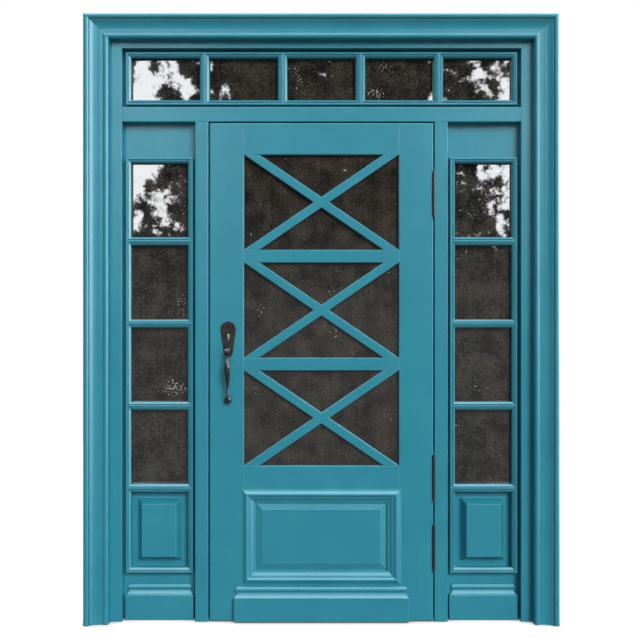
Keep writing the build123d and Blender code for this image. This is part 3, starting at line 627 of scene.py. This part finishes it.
# %% Floor
FLOOR_GREY = "#9a9a9a"
WHITE = "#ffffff"
floor_half = 4.0
floor_behind = 1.2
floor_drop = 0.5 * MM
shadow_reach = 60 * MM

floor_mesh = bmesh.new()
bmesh.ops.create_grid(floor_mesh, x_segments=1, y_segments=1, size=floor_half)
bmesh.ops.translate(floor_mesh, verts=floor_mesh.verts, vec=(middle_x, floor_behind, -floor_drop))
floor_data = bpy.data.meshes.new("floor")
floor_mesh.to_mesh(floor_data)
floor_mesh.free()
floor = bpy.data.objects.new("floor", floor_data)
scene.collection.objects.link(floor)

floor_finish = new_material("white_studio_floor")
tree = floor_finish.node_tree
path = add_node(tree, "ShaderNodeLightPath")
grey = add_node(tree, "ShaderNodeBsdfDiffuse", {"Color": linear(FLOOR_GREY)})
contact_shadow_mask = add_node(tree, "ShaderNodeAmbientOcclusion", {"Distance": shadow_reach}, samples=8)
# Painted contact shadow: the glow is dimmed where the floor is closed in near the door.
glow = add_node(tree, "ShaderNodeEmission", {"Color": linear(WHITE), "Strength": contact_shadow_mask.outputs["AO"]})
seen = add_node(tree, "ShaderNodeAddShader", {0: grey.outputs["BSDF"], 1: glow.outputs["Emission"]})
clear = add_node(tree, "ShaderNodeBsdfTransparent", {"Color": linear(WHITE)})
unseen = add_node(tree, "ShaderNodeMixShader", {
    0: path.outputs["Is Glossy Ray"], 1: grey.outputs["BSDF"], 2: clear.outputs["BSDF"]})
shown = add_node(tree, "ShaderNodeMixShader", {
    0: path.outputs["Is Camera Ray"], 1: unseen.outputs["Shader"], 2: seen.outputs["Shader"]})
add_node(tree, "ShaderNodeOutputMaterial", {"Surface": shown.outputs["Shader"]})
floor_data.materials.append(floor_finish)
print("floor is", 2 * floor_half, "m square")

# %% [markdown]
# ## Lamps
# The shadows in the photograph are short and soft, below the head casing and to the left of each
# right-hand edge, so a broad lamp stands in front, to the right and above. A weaker one behind the set
# keeps the inner face readable when the camera walks round. Area lamps would do, but a sun with a wide
# angle lights the whole height evenly. Neither shows in reflections: those come from the world, where
# they are easier to shape.

# %% Lamps
def sun_lamp(name, energy, spread, comes_from):
    """A broad lamp that shines from one direction, with its spread in degrees."""
    lamp = bpy.data.objects.new(name, bpy.data.lights.new(name, "SUN"))
    scene.collection.objects.link(lamp)
    lamp.data.energy = energy
    lamp.data.angle = math.radians(spread)
    lamp.rotation_euler = comes_from.to_track_quat("Z", "Y").to_euler()
    lamp.visible_glossy = False
    print(name, "shines from", [round(v, 2) for v in comes_from])


sun_lamp("key_lamp", energy=3.05, spread=28, comes_from=Vector((0.39, -0.79, 0.47)))
sun_lamp("back_lamp", energy=1.5, spread=40, comes_from=Vector((0, 0.95, 0.3)))

# %% [markdown]
# ## Mirrored trees
# The upper panes mirror bright sky between dark trees, while the lower ones mirror only the dark. Seen in
# a mirror, the world is a sphere of directions, with X to the right and Z up. The gaps between the
# branches are noise that is cut at a threshold. Before the cut the noise is raised with height and to the
# sides, less on the right, so the gaps open about where the photograph has them. Past the panes, above
# and to the sides, they fade out. A picture of trees would do this too, but nothing is loaded here.

# %% Mirrored trees
branch_scale = 44.0
less_on_the_right = -0.08
wider_with_height = 0.15
dark_middle = 0.207
least_opening = -0.095
opens_with_height = 2.5
closed_at_horizon = -0.265
opening_weight = 1.9
gap_strength = 8.0
gap_strength_above = 0.3

world = bpy.data.worlds.new("studio")
scene.world = world
world.use_nodes = True
tree = world.node_tree
tree.nodes.clear()
looking = add_node(tree, "ShaderNodeTexCoord").outputs["Generated"]
parts = add_node(tree, "ShaderNodeSeparateXYZ", {"Vector": looking})
rightwards = parts.outputs["X"]
skywards = parts.outputs["Z"]
branches = add_node(tree, "ShaderNodeTexNoise", {
    "Vector": looking, "Scale": branch_scale, "Detail": 6.0, "Roughness": 0.72})
aside = add_node(tree, "ShaderNodeMath", {0: rightwards}, operation="ABSOLUTE")
leaning = add_node(tree, "ShaderNodeMath", {
    0: rightwards, 1: less_on_the_right, 2: aside.outputs[0]}, operation="MULTIPLY_ADD")
lifted = add_node(tree, "ShaderNodeMath", {
    0: skywards, 1: wider_with_height, 2: leaning.outputs[0]}, operation="MULTIPLY_ADD")
beside = add_node(tree, "ShaderNodeMath", {0: lifted.outputs[0], 1: dark_middle}, operation="SUBTRACT")
clear_aside = add_node(tree, "ShaderNodeMath", {
    0: beside.outputs[0], 1: least_opening}, operation="MAXIMUM")
clear_above = add_node(tree, "ShaderNodeMath", {
    0: skywards, 1: opens_with_height, 2: closed_at_horizon}, operation="MULTIPLY_ADD")
opening = add_node(tree, "ShaderNodeMath", {
    0: clear_aside.outputs[0], 1: clear_above.outputs[0]}, operation="MINIMUM")
broken = add_node(tree, "ShaderNodeMath", {
    0: opening.outputs[0], 1: opening_weight, 2: branches.outputs["Fac"]}, operation="MULTIPLY_ADD")
gaps = add_node(tree, "ShaderNodeMapRange", {"Value": broken.outputs[0], "From Min": 0.5, "From Max": 0.55})
near_sky = add_node(tree, "ShaderNodeMapRange", {
    "Value": skywards, "From Min": 0.28, "From Max": 0.45,
    "To Min": gap_strength, "To Max": gap_strength_above})
near_panes = add_node(tree, "ShaderNodeMapRange", {
    "Value": aside.outputs[0], "From Min": 0.23, "From Max": 0.33, "To Min": 1.0, "To Max": 0.0})
mirrored_gaps = add_node(tree, "ShaderNodeMath", {
    0: gaps.outputs["Result"], 1: near_panes.outputs["Result"]}, operation="MULTIPLY")
sky = add_node(tree, "ShaderNodeMath", {
    0: mirrored_gaps.outputs[0], 1: near_sky.outputs["Result"]}, operation="MULTIPLY")
print("sky gaps shine with strength", gap_strength)

# %% [markdown]
# ## Glow on the mouldings
# Bevels and rolls mirror what lies to the side and overhead, far outside the panes. In the photograph the
# ones that face right and up carry bright lines and the others none, so there is a bright wall far to the
# right, which fades downwards, and a sky that gets brighter towards the zenith. Area lamps could draw
# such lines too, but would also light the flat faces. The dark ground adds a little grey to the lower
# panes.

# %% Glow on the mouldings
right_strength = 9.6
zenith_strength = 6.6
ground_strength = 0.19
horizon_strength = 0.02

right_side = add_node(tree, "ShaderNodeMapRange", {
    "Value": rightwards, "From Min": 0.38, "From Max": 0.9, "To Max": right_strength},
    interpolation_type="SMOOTHSTEP")
right_rise = add_node(tree, "ShaderNodeMapRange", {"Value": skywards, "From Min": -0.24, "From Max": 0.1})
right_glow = add_node(tree, "ShaderNodeMath", {
    0: right_side.outputs["Result"], 1: right_rise.outputs["Result"], 2: sky.outputs[0]},
    operation="MULTIPLY_ADD")
zenith = add_node(tree, "ShaderNodeMapRange", {
    "Value": skywards, "From Min": 0.35, "From Max": 1.0, "To Max": zenith_strength})
above = add_node(tree, "ShaderNodeMath", {
    0: zenith.outputs["Result"], 1: right_glow.outputs[0]}, operation="ADD")
ground = add_node(tree, "ShaderNodeMapRange", {
    "Value": skywards, "From Min": 0.0, "From Max": 0.13,
    "To Min": ground_strength, "To Max": horizon_strength})
glare = add_node(tree, "ShaderNodeMath", {
    0: above.outputs[0], 1: ground.outputs["Result"]}, operation="ADD")
print("glow from the right", right_strength, "and from the zenith", zenith_strength)

# %% [markdown]
# ## World
# The Light Path node gives each kind of ray its own world. The camera sees plain white, mirrored rays see
# the trees and the glow, and all other rays gather an even fill that opens up the shadows. A white wall
# behind the door would look the same to the camera, but would throw light on the door's back.

# %% World
SKY_TINT = "#f4f7fa"
fill_strength = 0.24

path = add_node(tree, "ShaderNodeLightPath")
fill = add_node(tree, "ShaderNodeBackground", {"Color": linear(WHITE), "Strength": fill_strength})
mirrored = add_node(tree, "ShaderNodeBackground", {"Color": linear(SKY_TINT), "Strength": glare.outputs[0]})
backdrop = add_node(tree, "ShaderNodeBackground", {"Color": linear(WHITE), "Strength": 1.0})
unseen = add_node(tree, "ShaderNodeMixShader", {
    0: path.outputs["Is Glossy Ray"], 1: fill.outputs["Background"], 2: mirrored.outputs["Background"]})
shown = add_node(tree, "ShaderNodeMixShader", {
    0: path.outputs["Is Camera Ray"], 1: unseen.outputs["Shader"], 2: backdrop.outputs["Background"]})
add_node(tree, "ShaderNodeOutputWorld", {"Surface": shown.outputs["Shader"]})
print("the fill has strength", fill_strength)
